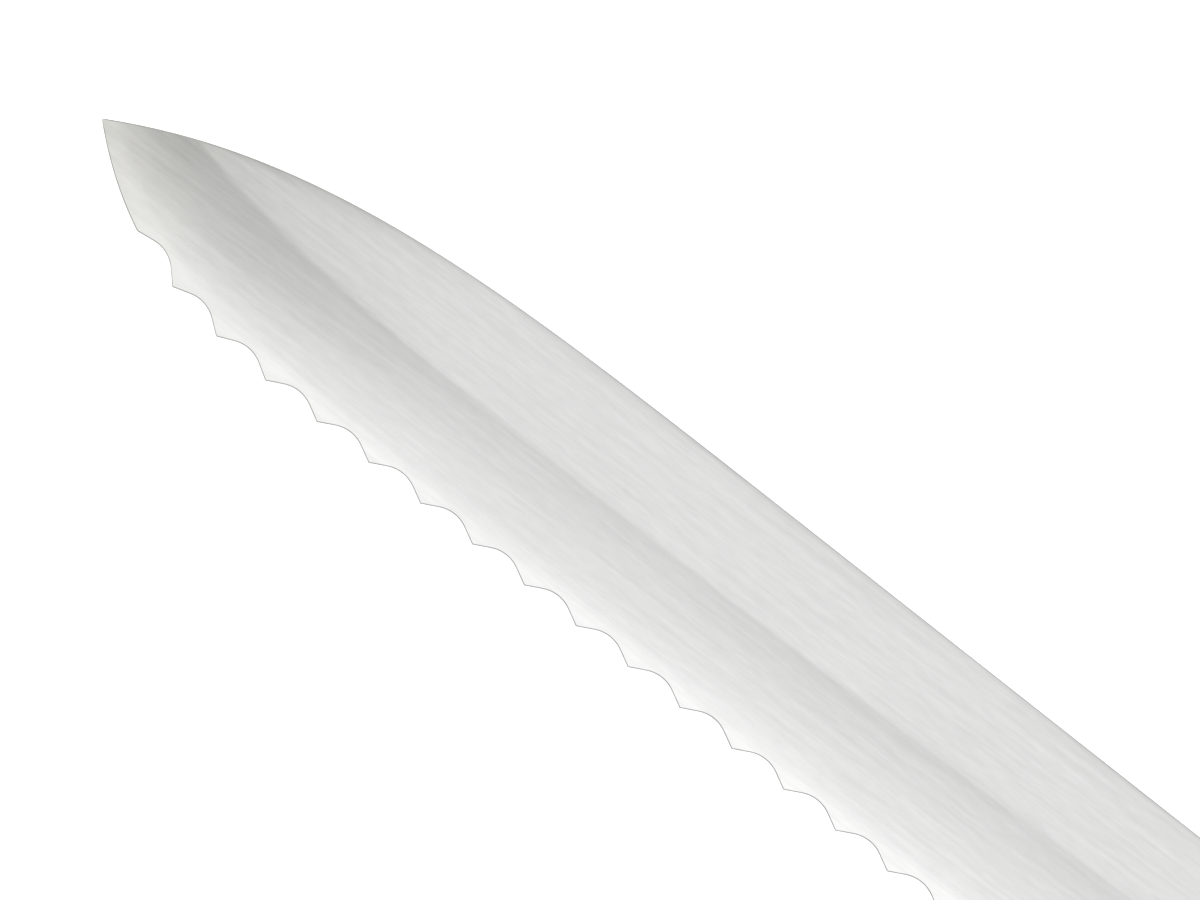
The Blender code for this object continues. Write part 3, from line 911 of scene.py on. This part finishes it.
def add_bump(tree, shader, height, distance):
    """Relief from a value between 0 and 1, over a height in metres."""
    bump = node(tree, "ShaderNodeBump", [("Height", height), ("Distance", distance)])
    tree.links.new(bump.outputs[0], shader.inputs["Normal"])


# The blade's painted shading, standing in for the hollow grind's reflections: bright at the edge, darkest
# just below the shoulder, and darker on the spine and the edge bevels. Columns: place in the grind, tone
# near the tip, tone further back. They change from the one to the other between two distances from the tip.
PAINTED_SHADE_CHANGE = (0.045, 0.080)
PAINTED_GRIND_SHADES = [
    (-1.00, 0.520, 0.520),
    (-0.07, 0.520, 0.520),
    (0.01, 0.970, 0.930),
    (0.10, 0.960, 0.920),
    (0.17, 0.920, 0.855),
    (0.25, 0.840, 0.785),
    (0.40, 0.760, 0.720),
    (0.60, 0.665, 0.680),
    (0.80, 0.610, 0.665),
    (0.965, 0.590, 0.635),
    (1.04, 0.620, 0.625),
    (1.15, 0.650, 0.630),
    (1.73, 0.645, 0.620),
    (1.85, 0.640, 0.605),
    (1.955, 0.630, 0.590),
    (2.00, 0.565, 0.525),
]

# Painted shade darkening the steel towards the tip, with a faint warm cast and a little painted light just
# behind it, against the distance from the tip
TIP_PAINTED_SHADE = [
    (0.000, (0.855, 0.855, 0.810)),
    (0.005, (0.925, 0.920, 0.880)),
    (0.009, (0.975, 0.970, 0.930)),
    (0.013, (1.000, 1.000, 0.960)),
    (0.017, (1.040, 1.040, 1.005)),
    (0.030, (1.030, 1.030, 1.010)),
    (0.050, (1.000, 1.000, 0.985)),
    (0.060, (1.000, 1.000, 0.995)),
]


def on_ramp(place):
    """A place in the grind, from -1 to 2, as a position on a ramp from 0 to 1."""
    return (place + 1) / 3


def from_to(tree, value, low, high):
    """A value brought from the range low to high to the range 0 to 1."""
    inputs = [("Value", value), ("From Min", low), ("From Max", high)]
    return node(tree, "ShaderNodeMapRange", inputs).outputs[0]


def painted_blade_shading(tree, place, x):
    """The blade's colour without its streaks: painted shading by place in the grind and by distance from
    the tip.
    """
    near_tip = ramp(tree, place, [(on_ramp(at), near) for at, near, far in PAINTED_GRIND_SHADES])
    further = ramp(tree, place, [(on_ramp(at), far) for at, near, far in PAINTED_GRIND_SHADES])
    start, end = PAINTED_SHADE_CHANGE
    backward = from_to(tree, x, TIP_X + start, TIP_X + end)
    inputs = [("Factor", backward), ("A", near_tip), ("B", further)]
    tone = node(tree, "ShaderNodeMix", inputs, data_type="FLOAT").outputs[0]
    # painted shade towards the tip, multiplied into the painted grind shading
    tip_shade_length = TIP_PAINTED_SHADE[-1][0]
    from_tip = from_to(tree, x, TIP_X, TIP_X + tip_shade_length)
    tip_shade = ramp(tree, from_tip, [(distance / tip_shade_length, colour) for distance, colour in TIP_PAINTED_SHADE])
    return node(tree, "ShaderNodeVectorMath", [(0, tone), (1, tip_shade)], operation="MULTIPLY").outputs[0]


def product(tree, factors):
    """The product of several numbers."""
    total = factors[0]
    for factor in factors[1:]:
        total = maths(tree, "MULTIPLY", total, factor)
    return total


def blade_steel():
    """Brushed steel with streaks along the blade. Its colour carries painted shading, brightest at the
    edge, and it is least glossy there.
    """
    material, tree, shader = new_material("brushed_blade_steel", 1.0)
    place = node(tree, "ShaderNodeAttribute", attribute_name="grind").outputs["Fac"]
    place = from_to(tree, place, -1.0, 2.0)
    x = node(tree, "ShaderNodeSeparateXYZ", [(0, stretched(tree, (1, 1, 1)))]).outputs["X"]
    # painted shading of the grind, with painted shade towards the tip
    colour = painted_blade_shading(tree, place, x)

    long_streaks = noise(tree, (14, 700, 700), 1.0, turn=1.5)
    streaks = noise(tree, (45, 1150, 1150), 2.0, turn=-1.0)
    short_streaks = noise(tree, (300, 1400, 1400), 2.0)
    fine = noise(tree, (150, 9000, 9000), 2.0)
    swings = ((long_streaks, 0.03), (streaks, 0.09), (short_streaks, 0.06), (fine, 0.04))
    factor = product(tree, [around_one(tree, value, amount) for value, amount in swings])
    tree.links.new(times(tree, colour, factor), shader.inputs["Base Color"])
    rough = ramp(tree, place, [(0.33, 0.34), (0.50, 0.22), (0.62, 0.20), (0.68, 0.22)])
    rough_factor = around_one(tree, streaks, 0.12)
    tree.links.new(product(tree, [rough, rough_factor]), shader.inputs["Roughness"])
    add_bump(tree, shader, maths(tree, "ADD", streaks, fine), 0.0000012)
    return material


def bolster_steel():
    """Satin steel, with its brush marks across the bolster."""
    material, tree, shader = new_material("satin_bolster_steel", 1.0)
    streaks = noise(tree, (2500, 60, 2500), 2.0)
    fine = noise(tree, (9000, 300, 9000), 2.0)
    factor = product(tree, [around_one(tree, streaks, 0.05), around_one(tree, fine, 0.05)])
    base = node(tree, "ShaderNodeRGB")
    base.outputs[0].default_value = (0.60, 0.60, 0.59, 1)
    tree.links.new(times(tree, base.outputs[0], factor), shader.inputs["Base Color"])
    tree.links.new(product(tree, [around_one(tree, fine, 0.2), 0.26]), shader.inputs["Roughness"])
    add_bump(tree, shader, maths(tree, "ADD", streaks, fine), 0.000001)
    return material


def rivet_brass():
    """Brass that has dulled in clouds, with fine scratches at a slant."""
    material, tree, shader = new_material("rivet_brass", 1.0)
    cloud = noise(tree, (400, 400, 400), 3.0)
    scratches = noise(tree, (700, 7000, 3000), 2.0, turn=35)
    colour = ramp(tree, cloud, [(0.30, (0.62, 0.40, 0.17)), (0.60, (0.80, 0.57, 0.27))])
    tree.links.new(times(tree, colour, around_one(tree, scratches, 0.10)), shader.inputs["Base Color"])
    tree.links.new(product(tree, [around_one(tree, cloud, 0.3), 0.27]), shader.inputs["Roughness"])
    add_bump(tree, shader, scratches, 0.000002)
    return material


def wood_figure(tree):
    """The wood's broad figure, drawn out along the grain and bent by a slow drift."""
    drift = noise(tree, (12, 40, 40), 2.0)
    vector = stretched(tree, (9, 260, 150), turn=2.0)
    warped = node(
        tree, "ShaderNodeVectorMath", [(0, vector), (1, times(tree, drift, 2.5))], operation="ADD"
    ).outputs[0]
    inputs = [("Vector", warped), ("Scale", 1.0), ("Detail", 5.0), ("Roughness", 0.55)]
    return node(tree, "ShaderNodeTexNoise", inputs).outputs[0]


def handle_wood():
    """Oiled walnut: long figure, darker late wood lines and short open pores along the grain."""
    material, tree, shader = new_material("handle_walnut", 0.0)
    figure = wood_figure(tree)
    lines = noise(tree, (30, 1400, 900), 3.0, turn=2.0)
    pores = noise(tree, (260, 5200, 5200), 1.0, turn=2.0)
    grain = maths(tree, "ADD", product(tree, [figure, 0.68]), product(tree, [lines, 0.32]))
    browns = [
        (0.36, (0.045, 0.018, 0.009)),
        (0.46, (0.125, 0.055, 0.026)),
        (0.54, (0.205, 0.098, 0.047)),
        (0.66, (0.300, 0.155, 0.078)),
    ]
    brown = ramp(tree, grain, browns)
    pore_depth = ramp(tree, pores, [(0.30, 0.35), (0.40, 1.0)])
    colour = node(tree, "ShaderNodeVectorMath", [(0, brown), (1, pore_depth)], operation="MULTIPLY")
    tree.links.new(colour.outputs[0], shader.inputs["Base Color"])
    tree.links.new(product(tree, [around_one(tree, lines, 0.15), 0.42]), shader.inputs["Roughness"])
    add_bump(tree, shader, pore_depth, 0.00004)
    return material


def liner_fibre():
    """Black vulcanised fibre with faint specks."""
    material, tree, shader = new_material("liner_fibre", 0.0)
    specks = noise(tree, (3000, 3000, 3000), 3.0)
    colour = ramp(tree, specks, [(0.35, (0.018, 0.017, 0.016)), (0.65, (0.040, 0.037, 0.034))])
    tree.links.new(colour, shader.inputs["Base Color"])
    tree.links.new(product(tree, [around_one(tree, specks, 0.1), 0.65]), shader.inputs["Roughness"])
    add_bump(tree, shader, specks, 0.00001)
    return material


# The material slot of each kind of piece, by the first word of its name
SLOTS = {
    "blade": "blade_steel",
    "bolster": "bolster_steel",
    "rivet": "rivet_brass",
    "hanging": "rivet_brass",
    "scale": "handle_wood",
    "liner": "liner_fibre",
}


def dress(nodes, pieces):
    """Gives every piece and the CAD node it replaces the material of the piece's slot, parents the piece to
    the root and hides the CAD node.
    """
    materials = {
        "blade_steel": blade_steel(),
        "bolster_steel": bolster_steel(),
        "rivet_brass": rivet_brass(),
        "handle_wood": handle_wood(),
        "liner_fibre": liner_fibre(),
    }
    for name, piece in pieces.items():
        slot = SLOTS[name.split("_")[0]]
        for obj in (piece, nodes[name]):
            obj.data.materials.clear()
            obj.data.materials.append(materials[slot])
        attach(piece, "root")
        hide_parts(name)


# Studio


def make_floor():
    """A white table with a faint glow of its own, so that the knife's shadow stays soft and light."""
    bpy.ops.mesh.primitive_plane_add(size=TABLE_SIZE)
    floor = bpy.context.object
    floor.name = "table"
    material, _, shader = new_material("white_table", 0.0)
    shader.inputs["Base Color"].default_value = (TABLE_COLOUR, TABLE_COLOUR, TABLE_COLOUR, 1)
    shader.inputs["Roughness"].default_value = 1.0
    shader.inputs["Specular IOR Level"].default_value = 0.0
    shader.inputs["Emission Color"].default_value = (1, 1, 1, 1)
    shader.inputs["Emission Strength"].default_value = TABLE_GLOW
    floor.data.materials.append(material)


def make_softbox(name, low, high, height, radiance):
    """A level area light over the rectangle from low to high, shining down."""
    light = bpy.data.lights.new(name, "AREA")
    light.shape = "RECTANGLE"
    light.size = high[0] - low[0]
    light.size_y = high[1] - low[1]
    light.energy = radiance * math.pi * light.size * light.size_y
    obj = bpy.data.objects.new(name, light)
    obj.location = ((low[0] + high[0]) / 2, (low[1] + high[1]) / 2, height)
    bpy.context.scene.collection.objects.link(obj)


def make_world(horizon, zenith):
    """Dim soft light from all round, and plain white where the camera sees past the table."""
    world = bpy.data.worlds.new("studio")
    world.use_nodes = True
    tree = world.node_tree
    background = tree.nodes["Background"]
    direction = node(tree, "ShaderNodeTexCoord").outputs["Generated"]
    height = node(tree, "ShaderNodeSeparateXYZ", [(0, direction)]).outputs["Z"]
    glow = maths(tree, "ADD", maths(tree, "MULTIPLY", height, zenith - horizon), horizon)
    seen = node(tree, "ShaderNodeLightPath").outputs["Is Camera Ray"]
    strength = node(
        tree, "ShaderNodeMix", [("Factor", seen), ("A", glow), ("B", 1.0)], data_type="FLOAT"
    ).outputs[0]
    tree.links.new(strength, background.inputs["Strength"])
    background.inputs["Color"].default_value = (1, 1, 1, 1)
    bpy.context.scene.world = world


def make_camera():
    """Looks straight down at the front part of the blade, with the tip at the upper left."""
    camera = bpy.data.cameras.new("camera")
    camera.lens = CAMERA_LENS
    camera.sensor_width = SENSOR_WIDTH
    obj = bpy.data.objects.new("camera", camera)
    obj.location = CAMERA_PLACE
    obj.rotation_euler = (0, 0, CAMERA_TURN)
    bpy.context.scene.collection.objects.link(obj)
    bpy.context.scene.camera = obj


def main():
    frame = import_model()
    low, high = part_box("blade")
    origin = Vector((low.x + BLADE_LENGTH, high.y, (low.z + high.z) / 2))
    pieces = {"blade": make_blade(origin), **make_sides(origin), **make_fasteners(origin)}
    dress(frame["nodes"], pieces)
    make_floor()
    make_softbox("main_softbox", SOFTBOX_LOW, SOFTBOX_HIGH, SOFTBOX_HEIGHT, SOFTBOX_RADIANCE)
    make_world(HORIZON_LIGHT, ZENITH_LIGHT)
    make_camera()
    bpy.context.scene.view_settings.view_transform = "Standard"


main()
